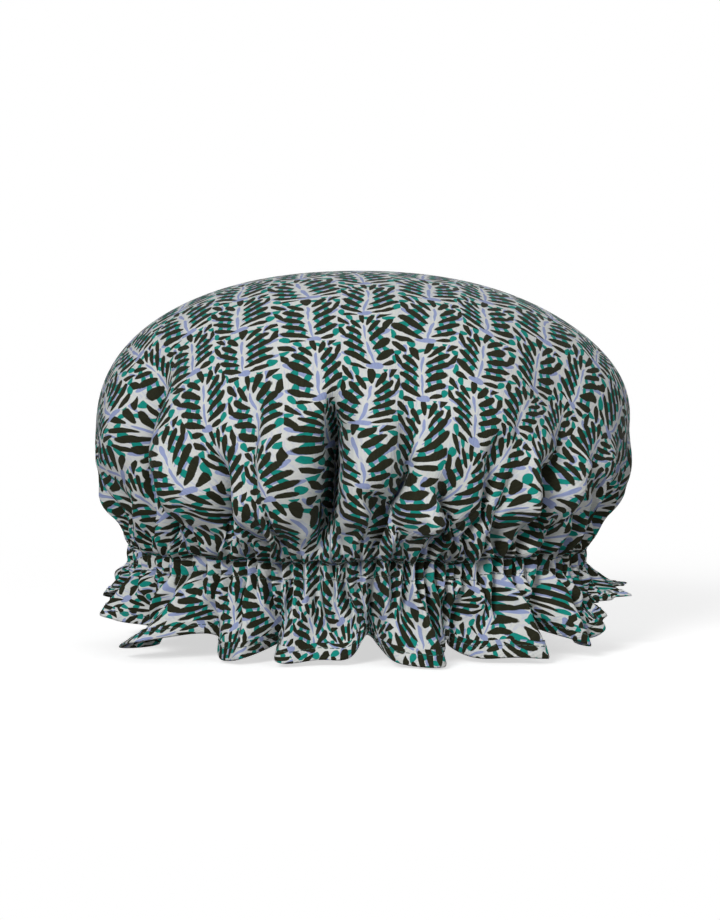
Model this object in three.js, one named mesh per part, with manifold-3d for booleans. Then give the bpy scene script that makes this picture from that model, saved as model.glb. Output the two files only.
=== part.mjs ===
// Gathered fabric shower cap: a round printed cover with a ruffle, a waterproof lining,
// an elastic in the casing between them, a binding round the hem and the sewing threads.
// Millimetres, +Z up. The front of the cap faces -Y, and the cap stands on its hem at z = 0.
import * as THREE from "three";
import { mergeVertices } from "three/addons/utils/BufferGeometryUtils.js";
import Module from "manifold-3d";

const wasm = await Module();
wasm.setup();

// Crown: a full elliptical dome over a lower part that draws in to the casing, later at the front and
// back than at the sides. A fullness under 1 squares the dome's shoulders.
const crownWidth = 257;
const crownDepth = 186;
const domeRise = 80.5;
const bulgeHeight = 52;
const fullness = 0.93;
const sideDrawIn = 1.8;
const frontDrawIn = 3.6;

// Casing: the gathered band between two seams that holds the elastic
const neckWidth = 213;
const neckDepth = 143;
const casingHeight = 8;
const gatherDepth = 1.5;

// Ruffle: the cloth below the casing, with its flare from the vertical in degrees, and the share of
// its length that is drawn up at the two sides, where the hem stands off the floor
const ruffleLength = 40;
const frontFlare = 22;
const sideFlare = 44;
const sideDrawnUp = 0.28;
const waveFlare = 17;
const waveCount = 14;

// Cloth layers and the room between them
const coverThickness = 0.6;
const liningThickness = 0.4;
const layerGap = 1;
const seamGap = 0.3;

// Elastic: one flat strip whose ends overlap at the back
const elasticWidth = 5;
const elasticThickness = 1;
const elasticOverlap = 24;
const elasticClearance = 0.5;

// Binding: a folded strip that wraps the ruffle's edge, cut flat where the cap stands
const bindingWidth = 7.5;
const bindingThickness = 0.5;
const bindingSeamInset = 2;
const standingCut = 0.5;

// Sewing threads
const threadDiameter = 0.5;
const threadGap = 0.35;
const joinStitchCount = 8;
const joinStitchMargin = 1;

// Points round the first turn of the crown, which double at each of the next two turns
const topPoints = 14;
const pointsAround = 4 * topPoints;

// Folds drawn down into the casing, by their turn from the front towards +X and their lean, in
// degrees, and by their rise above the casing, depth and half-width
const folds = [
  { turn: -9, lean: 3, rise: 104, depth: 32, width: 12 },
  { turn: 7, lean: 9, rise: 104, depth: 20, width: 12 },
  { turn: 28, lean: -12, rise: 58, depth: 12, width: 9 },
  { turn: 43, lean: 18, rise: 104, depth: 19, width: 12 },
  { turn: 76, lean: 2, rise: 66, depth: 10, width: 11 },
  { turn: 104, lean: 2, rise: 86, depth: 13, width: 12 },
  { turn: 127, lean: 6, rise: 96, depth: 15, width: 12 },
  { turn: 149, lean: -6, rise: 84, depth: 13, width: 11 },
  { turn: 172, lean: 4, rise: 62, depth: 13, width: 11 },
  { turn: -166, lean: -3, rise: 86, depth: 18, width: 12 },
  { turn: -142, lean: 6, rise: 66, depth: 12, width: 11 },
  { turn: -119, lean: -4, rise: 100, depth: 19, width: 12 },
  { turn: -94, lean: 3, rise: 58, depth: 10, width: 11 },
  { turn: -53, lean: -6, rise: 108, depth: 26, width: 13 },
  { turn: -33, lean: 3, rise: 62, depth: 22, width: 10 },
];
const foldStart = 34;
const shoulderShare = 0.36;
const shoulderSpread = 2.4;

// Colours of the finished pieces
const printColour = 0x7f948f;
const liningColour = 0xe9ebe6;
const elasticColour = 0xf2f1ec;
const threadColour = 0x1d4a3c;

const radians = THREE.MathUtils.degToRad;
const smooth = THREE.MathUtils.smoothstep;
const lerp = THREE.MathUtils.lerp;
const fullTurn = 2 * Math.PI;

// A level ellipse's point, from its two diameters, a turn from the front and its height, moved away
// from the cap's axis by a distance
function onEllipse(width, depth, turn, height, outwards) {
  const point = new THREE.Vector3((width / 2) * Math.sin(turn), (-depth / 2) * Math.cos(turn), 0);
  const reach = point.length();
  return point.multiplyScalar((reach + outwards) / reach).setZ(height);
}

// One turn of points from a function of the turn and the point's number
function ringOf(count, pointAt) {
  return Array.from({ length: count }, (_, i) => pointAt((i / count) * fullTurn, i));
}

// How far the folds push the crown outwards at a turn and a height above the casing:
// each is a bell-shaped valley with raised shoulders that fades at its top and at the seam
function foldPush(turn, height) {
  const reach = (crownWidth + crownDepth) / 4;
  let push = 0;
  for (const fold of folds) {
    const centre = radians(fold.turn + (fold.lean * height) / fold.rise);
    const apart = Math.atan2(Math.sin(turn - centre), Math.cos(turn - centre));
    const across = (apart * reach) / fold.width;
    const valley = Math.exp(-(across ** 2));
    const shoulder = Math.exp(-((across / shoulderSpread) ** 2));
    const fade = (1 - smooth(height, fold.rise * 0.4, fold.rise)) * smooth(height, 0, foldStart);
    push -= fold.depth * fade * (valley - shoulderShare * shoulder);
  }
  return push;
}

// Dome above the widest line, at an angle down from the top in degrees
function domeRing(angle, count) {
  const share = Math.sin(radians(angle)) ** fullness;
  const height = bulgeHeight + domeRise * Math.cos(radians(angle)) ** fullness;
  return ringOf(count, (turn) => {
    const push = foldPush(turn, height) * share;
    return onEllipse(crownWidth * share, crownDepth * share, turn, casingHeight + height, push);
  });
}

// Lower crown, at a share of the way up from the casing to the widest line, drawn in to the neck
function lowerRing(share) {
  const width = lerp(crownWidth, neckWidth, (1 - share) ** sideDrawIn);
  const depth = lerp(crownDepth, neckDepth, (1 - share) ** frontDrawIn);
  const height = bulgeHeight * share;
  return ringOf(pointsAround, (turn) =>
    onEllipse(width, depth, turn, casingHeight + height, foldPush(turn, height)),
  );
}

// The gathers put every other point of the casing out, and the rest in
function gatherAt(i) {
  return i % 2 ? -gatherDepth : gatherDepth;
}

// A turn of the casing at a height above the lower seam, moved away from the cap's axis
function casingRing(height, outwards) {
  return ringOf(pointsAround, (turn, i) =>
    onEllipse(neckWidth, neckDepth, turn, height, outwards + gatherAt(i)),
  );
}

// The ruffle's waves round the cap, from -1 in the hollows to 1 on the lobes, a little uneven
function ruffleWave(turn) {
  return Math.cos(waveCount * turn + 0.5 * Math.sin(3 * turn + 1) + 0.35 * Math.sin(5 * turn));
}

// The ruffle at a distance along the cloth below the lower seam
function ruffleRing(along) {
  const share = along / ruffleLength;
  return ringOf(pointsAround, (turn, i) => {
    const side = Math.sin(turn) ** 4;
    const rest = lerp(frontFlare, sideFlare, side);
    const reach = along * (1 - sideDrawnUp * side);
    const flare = radians(rest + waveFlare * share * ruffleWave(turn));
    const outwards = reach * Math.sin(flare) + gatherAt(i) * (1 - share);
    return onEllipse(neckWidth, neckDepth, turn, -reach * Math.cos(flare), outwards);
  });
}

// Triangles between two turns of points, where the second has as many points or twice as many
function bandTriangles(first, second, firstStart, secondStart) {
  const triangles = [];
  const step = second.length / first.length;
  for (let i = 0; i < first.length; i++) {
    const here = firstStart + i;
    const next = firstStart + ((i + 1) % first.length);
    const below = secondStart + i * step;
    const beside = secondStart + i * step + 1;
    const after = secondStart + (((i + 1) * step) % second.length);
    if (step === 1) {
      triangles.push(here, below, after, here, after, next);
    } else {
      triangles.push(here, below, beside, here, beside, next, beside, after, next);
    }
  }
  return triangles;
}

// A skin of cloth that starts at one point and spreads through its turns of points
function skinTriangles(rings, start) {
  const triangles = [];
  const [, firstRing] = rings;
  for (let i = 0; i < firstRing.length; i++)
    triangles.push(start, start + 1 + i, start + 1 + ((i + 1) % firstRing.length));
  let at = start + 1;
  for (let k = 2; k < rings.length; k++) {
    const next = at + rings[k - 1].length;
    triangles.push(...bandTriangles(rings[k - 1], rings[k], at, next));
    at = next;
  }
  return triangles;
}

function geometryOf(points, triangles) {
  return new THREE.BufferGeometry().setFromPoints(points).setIndex(triangles);
}

// The same turns of points, each moved along the cloth's outward normal by its turn's distance
function offsetRings(rings, distanceOf) {
  const skin = geometryOf(rings.flat(), skinTriangles(rings, 0));
  skin.computeVertexNormals();
  const normals = skin.getAttribute("normal");
  let at = 0;
  return rings.map((ring, k) =>
    ring.map((point) => {
      const normal = new THREE.Vector3().fromBufferAttribute(normals, at++);
      return point.clone().addScaledVector(normal, distanceOf(k));
    }),
  );
}

// Closed cloth between an outer and an inner skin, joined along the last turn of points
function clothGeometry(outer, inner) {
  const points = [...outer.flat(), ...inner.flat()];
  const start = points.length / 2;
  const inside = skinTriangles(inner, start);
  for (let i = 0; i < inside.length; i += 3)
    [inside[i + 1], inside[i + 2]] = [inside[i + 2], inside[i + 1]];
  const rim = [];
  for (let i = 0; i < pointsAround; i++) {
    const here = start - pointsAround + i;
    const next = start - pointsAround + ((i + 1) % pointsAround);
    rim.push(here, start + here, start + next, here, start + next, next);
  }
  return geometryOf(points, [...skinTriangles(outer, 0), ...inside, ...rim]);
}

// Closed solid through a row of matching sections, joined into a loop or capped at its ends. Each face
// is split from its upper corner to its lower one further on, as the cloth is, so that they nest.
function loftGeometry(sections, loop) {
  const sides = sections[0].length;
  const triangles = [];
  const spans = loop ? sections.length : sections.length - 1;
  for (let k = 0; k < spans; k++) {
    const here = k * sides;
    const there = ((k + 1) % sections.length) * sides;
    for (let i = 0; i < sides; i++) {
      const next = (i + 1) % sides;
      const falls = sections[k][i].z > sections[k][next].z;
      if (falls) {
        triangles.push(here + i, there + next, there + i, here + i, here + next, there + next);
      } else {
        triangles.push(here + i, here + next, there + i, here + next, there + next, there + i);
      }
    }
  }
  if (!loop) {
    const last = (sections.length - 1) * sides;
    for (let i = 1; i < sides - 1; i++)
      triangles.push(0, i + 1, i, last, last + i, last + i + 1);
  }
  return geometryOf(sections.flat(), triangles);
}

// Thread of square section along a row of points, with a direction at each point that faces out
// from what it is sewn to
function threadGeometry(points, facing, loop) {
  const half = threadDiameter / 2;
  const count = points.length;
  const sections = points.map((point, i) => {
    const before = points[loop ? (i + count - 1) % count : Math.max(i - 1, 0)];
    const after = points[loop ? (i + 1) % count : Math.min(i + 1, count - 1)];
    const heading = after.clone().sub(before).normalize();
    const across = facing[i].clone().projectOnPlane(heading).setLength(half);
    const up = across.clone().cross(heading).setLength(half);
    return [
      point.clone().add(across).add(up),
      point.clone().add(across).sub(up),
      point.clone().sub(across).sub(up),
      point.clone().sub(across).add(up),
    ];
  });
  return loftGeometry(sections, loop);
}

function solidOf(geometry) {
  const bare = new THREE.BufferGeometry();
  bare.setAttribute("position", geometry.getAttribute("position"));
  bare.setIndex(geometry.index);
  const merged = mergeVertices(bare);
  const vertProperties = new Float32Array(merged.getAttribute("position").array);
  const triVerts = new Uint32Array(merged.index.array);
  return new wasm.Manifold(new wasm.Mesh({ numProp: 3, vertProperties, triVerts }));
}

function geometryOfSolid(solid) {
  const { vertProperties, triVerts } = solid.getMesh();
  const geometry = new THREE.BufferGeometry();
  geometry.setAttribute("position", new THREE.BufferAttribute(vertProperties, 3));
  return geometry.setIndex(new THREE.BufferAttribute(triVerts, 1));
}

const cap = new THREE.Group();

function addPiece(name, geometry, color, roughness) {
  const faceted = geometry.toNonIndexed();
  faceted.computeVertexNormals();
  const material = new THREE.MeshStandardMaterial({ color, roughness, metalness: 0 });
  const mesh = new THREE.Mesh(faceted, material);
  mesh.name = name;
  cap.add(mesh);
}

// Cover: crown, front of the casing and ruffle in one round of cloth
const crownRings = [
  [new THREE.Vector3(0, 0, casingHeight + bulgeHeight + domeRise)],
  domeRing(15, topPoints),
  domeRing(31, 2 * topPoints),
  domeRing(47, pointsAround),
  domeRing(63, pointsAround),
  domeRing(79, pointsAround),
  lowerRing(0.85),
  lowerRing(0.52),
  lowerRing(0.22),
];
const upperSeam = crownRings.length;
const lowerSeam = upperSeam + 1;
const coverOuter = [
  ...crownRings,
  casingRing(casingHeight, 0),
  casingRing(0, 0),
  ruffleRing((ruffleLength - bindingWidth) / 2),
  ruffleRing(ruffleLength - bindingWidth),
  ruffleRing(ruffleLength - bindingWidth + bindingSeamInset),
  ruffleRing(ruffleLength),
];
const coverInner = offsetRings(coverOuter, () => -coverThickness);
addPiece("outer_cover", clothGeometry(coverOuter, coverInner), printColour, 0.7);

// Elastic: a strip that runs once round inside the casing and laps over its own start at the back.
// Between it and the cover there is room for the stitch that joins its ends.
const lapRise = elasticThickness + elasticClearance;
const joinStitchRoom = elasticClearance + threadDiameter + threadGap;
const elasticInset = coverThickness + gatherDepth + joinStitchRoom + lapRise + elasticThickness / 2;
const lapTurn = elasticOverlap / (neckWidth / 2 - elasticInset);
const elasticStart = Math.PI - lapTurn / 2;
function elasticPoint(turned, outwards, rise) {
  const lapped = smooth(turned, fullTurn - lapTurn, fullTurn) * lapRise;
  const height = casingHeight / 2 + rise;
  return onEllipse(neckWidth, neckDepth, elasticStart + turned, height, lapped + outwards - elasticInset);
}
const elasticSteps = pointsAround + 4;
const elasticSections = Array.from({ length: elasticSteps + 1 }, (_, i) => {
  const turned = ((fullTurn + lapTurn) * i) / elasticSteps;
  const out = elasticThickness / 2;
  const up = elasticWidth / 2;
  return [
    elasticPoint(turned, out, up),
    elasticPoint(turned, out, -up),
    elasticPoint(turned, -out, -up),
    elasticPoint(turned, -out, up),
  ];
});
addPiece("elastic_band", loftGeometry(elasticSections, false), elasticColour, 0.8);

// Zigzag stitch over the elastic's lap
const joinStitchFace = elasticThickness / 2 + threadGap + threadDiameter / 2;
const joinStitchRise = elasticWidth / 2 - joinStitchMargin;
const joinStitchPoints = Array.from({ length: joinStitchCount + 1 }, (_, i) => {
  const turned = fullTurn + (lapTurn * (i + 1)) / (joinStitchCount + 2);
  return elasticPoint(turned, joinStitchFace, i % 2 ? -joinStitchRise : joinStitchRise);
});
const backwards = joinStitchPoints.map(() => new THREE.Vector3(0, 1, 0));
addPiece("elastic_join_stitch", threadGeometry(joinStitchPoints, backwards, false), threadColour, 0.6);

// Lining: follows the inside of the crown and swells inwards at the casing round the elastic
const channelDepth = elasticInset + elasticThickness / 2 + elasticClearance + gatherDepth;
const channelEdge = (casingHeight - elasticWidth) / 4;
const liningLowerSeam = upperSeam + 3;
function liningSkin(depth) {
  const gapAt = (k) => coverThickness + (k < upperSeam ? layerGap : seamGap);
  const skin = offsetRings(coverOuter, (k) => -gapAt(k) - depth);
  skin[upperSeam].forEach((point) => point.setZ(point.z + depth));
  skin[lowerSeam].forEach((point) => point.setZ(point.z - depth));
  return [
    ...skin.slice(0, lowerSeam),
    casingRing(casingHeight - channelEdge + depth, -channelDepth - depth),
    casingRing(channelEdge - depth, -channelDepth - depth),
    skin[lowerSeam],
  ];
}
const liningOuter = liningSkin(0);
const liningInner = liningSkin(liningThickness);
addPiece("waterproof_lining", clothGeometry(liningOuter, liningInner), liningColour, 0.35);

// Hem binding: a strip folded round the ruffle's edge, with a leaf on each face of the cloth
const edgeRings = 3;
const hem = coverOuter.at(-1);
const hemSeam = coverOuter.at(-2);
function edgeStrip(skin, fromFace, belowEdge) {
  const strip = offsetRings(skin, () => fromFace).slice(-edgeRings);
  strip.at(-1).forEach((point, i) => {
    const down = hem[i].clone().sub(hemSeam[i]).setLength(belowEdge);
    point.add(down);
  });
  return strip;
}
const leafFace = seamGap + bindingThickness;
const outerLeafFace = edgeStrip(coverOuter, leafFace, leafFace);
const innerLeafFace = edgeStrip(coverInner, -leafFace, leafFace);
const outerLeafBack = edgeStrip(coverOuter, seamGap, seamGap);
const innerLeafBack = edgeStrip(coverInner, -seamGap, seamGap);
const bindingSections = hem.map((_, i) => [
  ...outerLeafFace.map((ring) => ring[i]),
  ...innerLeafFace.map((ring) => ring[i]).reverse(),
  ...innerLeafBack.map((ring) => ring[i]),
  ...outerLeafBack.map((ring) => ring[i]).reverse(),
]);
const uncutBinding = loftGeometry(bindingSections, true);
uncutBinding.computeBoundingBox();
const standingHeight = uncutBinding.boundingBox.min.z + standingCut;
const floorBlock = new THREE.BoxGeometry(2 * crownWidth, 2 * crownDepth, ruffleLength);
floorBlock.translate(0, 0, standingHeight - ruffleLength / 2);
const binding = solidOf(uncutBinding).subtract(solidOf(floorBlock));
addPiece("hem_binding", geometryOfSolid(binding), printColour, 0.7);

// Seam threads: one on the outer face and one on the inner face along each seam
function addSeamThread(name, skin, ring, fromFace) {
  const points = offsetRings(skin, () => fromFace).at(ring);
  const facing = points.map((point, i) => point.clone().sub(skin.at(ring)[i]));
  addPiece(name, threadGeometry(points, facing, true), threadColour, 0.6);
}
const threadFace = threadGap + threadDiameter;
addSeamThread("upper_casing_needle_thread", coverOuter, upperSeam, threadFace);
addSeamThread("upper_casing_bobbin_thread", liningInner, upperSeam, -threadFace);
addSeamThread("lower_casing_needle_thread", coverOuter, lowerSeam, threadFace);
addSeamThread("lower_casing_bobbin_thread", liningInner, liningLowerSeam, -threadFace);
addSeamThread("hem_needle_thread", coverOuter, -2, leafFace + threadFace);
addSeamThread("hem_bobbin_thread", coverInner, -2, -leafFace - threadFace);

// The origin is on the floor under the middle of the cap's outline
const outline = new THREE.Box3().setFromObject(cap).getCenter(new THREE.Vector3());
cap.position.set(-outline.x, -outline.y, -standingHeight);

export default cap;
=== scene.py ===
"""Blender scene of a gathered cloth shower cap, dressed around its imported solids.

The cap is one round of printed cotton. An elastic in a sewn casing draws it in, so the middle of the
round puffs up as the crown and its rim stands out as a ruffle with a bound hem.
"""

import logging
import math
from dataclasses import dataclass, field
from enum import Enum

import bpy
import numpy as np
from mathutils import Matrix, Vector


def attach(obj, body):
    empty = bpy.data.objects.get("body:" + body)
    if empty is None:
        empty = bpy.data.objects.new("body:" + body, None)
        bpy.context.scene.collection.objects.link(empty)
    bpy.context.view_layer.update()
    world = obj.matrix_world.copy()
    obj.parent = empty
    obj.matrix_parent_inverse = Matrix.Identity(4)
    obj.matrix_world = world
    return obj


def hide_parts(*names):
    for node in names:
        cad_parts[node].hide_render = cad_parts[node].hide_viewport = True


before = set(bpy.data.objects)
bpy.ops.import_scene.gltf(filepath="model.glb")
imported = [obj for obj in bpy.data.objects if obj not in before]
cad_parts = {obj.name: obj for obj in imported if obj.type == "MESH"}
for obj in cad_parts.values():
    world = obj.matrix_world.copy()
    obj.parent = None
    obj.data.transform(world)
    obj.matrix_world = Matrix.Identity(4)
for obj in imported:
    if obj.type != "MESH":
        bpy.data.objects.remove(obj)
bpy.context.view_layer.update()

MM = 0.001
CUT_MAP = "cut"

log = logging.getLogger("shower_cap")


class Face(Enum):
    """The face of the cloth that a thread lies on."""

    OUTSIDE = 1.0
    INSIDE = -1.0


# Small helpers for numbers and meshes


def linear(colour: str) -> tuple[float, float, float, float]:
    """Turns an sRGB hex colour into linear red, green, blue and alpha.

    Args:
        colour: Six hex digits after a hash.

    Returns:
        Linear values, each (v + 0.055) / 1.055 to the power 2.4, or v / 12.92 where v is dark.
    """
    parts = [int(colour[i : i + 2], 16) / 255 for i in (1, 3, 5)]
    red, green, blue = (v / 12.92 if v <= 0.04045 else ((v + 0.055) / 1.055) ** 2.4 for v in parts)
    return red, green, blue, 1.0


def ease(value: np.ndarray, start: float, end: float) -> np.ndarray:
    """Goes from 0 at start to 1 at end along 3t² - 2t³.

    Args:
        value: Any array.
        start: Value that gives 0.
        end: Value that gives 1.

    Returns:
        Array of the same shape, from 0 to 1.
    """
    share = np.clip((value - start) / (end - start), 0, 1)
    return share * share * (3 - 2 * share)


def turn_apart(theta: np.ndarray, degrees: np.ndarray | float) -> np.ndarray:
    """Angle from a direction in degrees to each theta, in radians, the short way round."""
    gap = theta - np.radians(degrees)
    return np.arctan2(np.sin(gap), np.cos(gap))


def unit(vectors: np.ndarray) -> np.ndarray:
    """Vectors of the last axis scaled to length 1."""
    return vectors / np.maximum(np.linalg.norm(vectors, axis=-1, keepdims=True), 1e-9)


def grid_quads(rows: int, columns: int, closed: bool = True) -> np.ndarray:
    """Quads of a grid whose points are numbered row by row.

    Args:
        rows: Number of rows, counted from the crown towards the hem.
        columns: Number of points in a row, counted round to the right.
        closed: Whether the last column joins the first.

    Returns:
        One row of four point numbers for each quad.
    """
    across = np.arange(columns if closed else columns - 1)
    row, column = np.meshgrid(np.arange(rows - 1), across, indexing="ij")
    beside = (column + 1) % columns
    corners = [(row, column), (row + 1, column), (row + 1, beside), (row, beside)]
    return np.stack([r * columns + c for r, c in corners], axis=-1).reshape(-1, 4)


def refine(band: np.ndarray) -> np.ndarray:
    """One step of Catmull-Clark subdivision on a band of quads that closes round.

    Each old line moves to (1 6 1) / 8 of itself and its neighbours, and each new line is the mean of
    two old ones, first round the band and then along it. The last row is a free edge and stays on
    its own line. The first row is left out, because it needs the row before it.

    Args:
        band: Points as rows, columns and x, y, z.

    Returns:
        Band with twice the columns, and two rows for each old row after the first.
    """
    before, after = np.roll(band, 1, axis=1), np.roll(band, -1, axis=1)
    fine = np.stack([(before + 6 * band + after) / 8, (band + after) / 2], axis=2)
    fine = fine.reshape(band.shape[0], -1, 3)
    kept = np.concatenate([(fine[:-2] + 6 * fine[1:-1] + fine[2:]) / 8, fine[-1:]])
    middle = (fine[:-1] + fine[1:]) / 2
    return np.stack([middle, kept], axis=1).reshape(-1, fine.shape[1], 3)


def running_sum(steps: np.ndarray) -> np.ndarray:
    """Sum of the steps before each place, from 0 to the whole."""
    return np.concatenate([[0], np.cumsum(steps)])


def end_caps(rows: int, columns: int) -> list:
    """Faces that close the first and the last row of a closed grid."""
    last = (rows - 1) * columns
    return [list(range(columns)), list(range(last + columns - 1, last - 1, -1))]


def band_normals(band: np.ndarray) -> np.ndarray:
    """Outward unit normals of a closed band: its way down crossed with its way round."""
    along = np.gradient(band, axis=0)
    around = np.roll(band, -1, axis=1) - np.roll(band, 1, axis=1)
    return unit(np.cross(along, around))


def put_mesh(
    name: str,
    points: np.ndarray,
    faces: list,
    material: bpy.types.Material,
    cut: np.ndarray | None = None,
) -> bpy.types.Object:
    """Makes a smooth mesh object at the origin from points in mm.

    Args:
        name: Name of the object and its mesh.
        points: Points in mm, one row each.
        faces: Lists of point numbers.
        material: The piece's finish.
        cut: Each point's place on the flat cloth in mm, for the UV map.

    Returns:
        The new object, linked to the scene.
    """
    mesh = bpy.data.meshes.new(name)
    mesh.from_pydata((points * MM).tolist(), [], faces)
    mesh.shade_smooth()
    if cut is not None:
        corner = np.empty(len(mesh.loops), np.int32)
        mesh.loops.foreach_get("vertex_index", corner)
        layer = mesh.uv_layers.new(name=CUT_MAP)
        layer.data.foreach_set("uv", (cut[corner] * MM).astype(np.float32).ravel())
    mesh.materials.append(material)
    piece = bpy.data.objects.new(name, mesh)
    bpy.context.scene.collection.objects.link(piece)
    return piece


def smooth_cloth(piece: bpy.types.Object) -> None:
    """Adds one level of subdivision to a cloth piece."""
    rounding = piece.modifiers.new("rounding", "SUBSURF")
    rounding.levels = 1
    rounding.render_levels = 1
    rounding.use_limit_surface = False


def stand_for(piece: bpy.types.Object, node: str) -> bpy.types.Object:
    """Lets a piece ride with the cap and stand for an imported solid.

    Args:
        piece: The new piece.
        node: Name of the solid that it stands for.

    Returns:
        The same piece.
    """
    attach(piece, "root")
    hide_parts(node)
    log.info("%s stands for %s", piece.name, node)
    return piece


# Finishes


def add(tree: bpy.types.NodeTree, kind: str, inputs: dict | None = None, **settings) -> bpy.types.Node:
    """Adds a node with its settings, and fills or links its inputs.

    Args:
        tree: Node tree of a material or world.
        kind: Type of node, without the ShaderNode that each type starts with.
        inputs: Socket names or numbers with a value, a socket, or a node for its first output.
        **settings: Properties of the node.

    Returns:
        The new node.
    """
    node = tree.nodes.new(f"ShaderNode{kind}")
    for name, value in settings.items():
        setattr(node, name, value)
    for socket, value in (inputs or {}).items():
        if isinstance(value, bpy.types.Node):
            value = value.outputs[0]
        if isinstance(value, bpy.types.NodeSocket):
            tree.links.new(value, node.inputs[socket])
        else:
            node.inputs[socket].default_value = value
    return node


def new_tree(name: str) -> tuple[bpy.types.Material, bpy.types.NodeTree]:
    """A material of that name and its emptied node tree."""
    material = bpy.data.materials.new(name)
    material.use_nodes = True
    material.node_tree.nodes.clear()
    return material, material.node_tree


def finish_tree(
    tree: bpy.types.NodeTree,
    height: bpy.types.NodeSocket | bpy.types.Node,
    strength: float,
    distance: float,
    looks: dict,
) -> None:
    """Ends a tree with a shader whose face is bumped.

    Args:
        tree: The material's node tree.
        height: What gives the height of the bumps.
        strength: Strength of the bumps.
        distance: Way in metres that a height of 1 stands for.
        looks: Other inputs of the shader.
    """
    bump = add(tree, "Bump", {"Height": height, "Strength": strength, "Distance": distance})
    shader = add(tree, "BsdfPrincipled", {**looks, "Normal": bump})
    add(tree, "OutputMaterial", {"Surface": shader})


@dataclass(frozen=True)
class Dab:
    """One brush dab of the print, in mm from the middle of its sprig.

    A paired dab is drawn on both sides of the stem, and a single one on the stem itself.
    """

    x: float
    y: float
    lean: float
    length: float
    width: float
    paired: bool = True


LEAF_DABS = (
    Dab(7.2, -11.2, 64, 13.3, 3.8),
    Dab(7.2, -5.8, 58, 13.3, 3.8),
    Dab(6.7, -0.5, 51, 12.5, 3.7),
    Dab(5.7, 4.6, 43, 11.2, 3.6),
    Dab(4.0, 9.3, 30, 9.5, 3.4),
    Dab(0.0, 13.6, 0, 8.6, 3.4, paired=False),
    Dab(12.2, 5.5, 24, 8.2, 3.4),
    Dab(10.7, 13.4, 42, 8.6, 3.4),
    Dab(7.2, -16.0, 76, 7.7, 3.1),
)
BUD_DABS = (
    Dab(9.3, -7.9, 152, 5.0, 3.8),
    Dab(8.9, -2.6, 148, 5.0, 3.8),
    Dab(7.9, 2.6, 140, 4.8, 3.6),
    Dab(6.0, 7.6, 128, 4.5, 3.3),
    Dab(4.1, -10.1, 152, 4.5, 2.8),
    Dab(3.8, -4.8, 148, 4.5, 2.8),
    Dab(3.4, 0.3, 140, 4.3, 2.6),
    Dab(12.4, 10.0, 110, 5.0, 3.6),
    Dab(11.9, -13.9, 30, 5.3, 3.8),
    Dab(6.5, 15.3, 20, 4.8, 3.4),
    Dab(2.1, 11.5, 100, 3.8, 2.8),
)
WASH_DABS = (
    Dab(6.0, -8.5, 61, 9.5, 1.7),
    Dab(6.0, -3.2, 55, 9.5, 1.7),
    Dab(5.3, 2.1, 47, 8.6, 1.6),
    Dab(11.7, -10.1, 60, 6.9, 2.2),
    Dab(11.0, 0.9, 50, 6.9, 2.1),
    Dab(8.4, 11.5, 10, 6.9, 1.9),
    Dab(0.0, -8.3, 0, 11.2, 1.7, paired=False),
    Dab(0.0, 3.1, 0, 9.5, 1.5, paired=False),
    Dab(0.0, -15.1, 90, 7.7, 3.8, paired=False),
)


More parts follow.
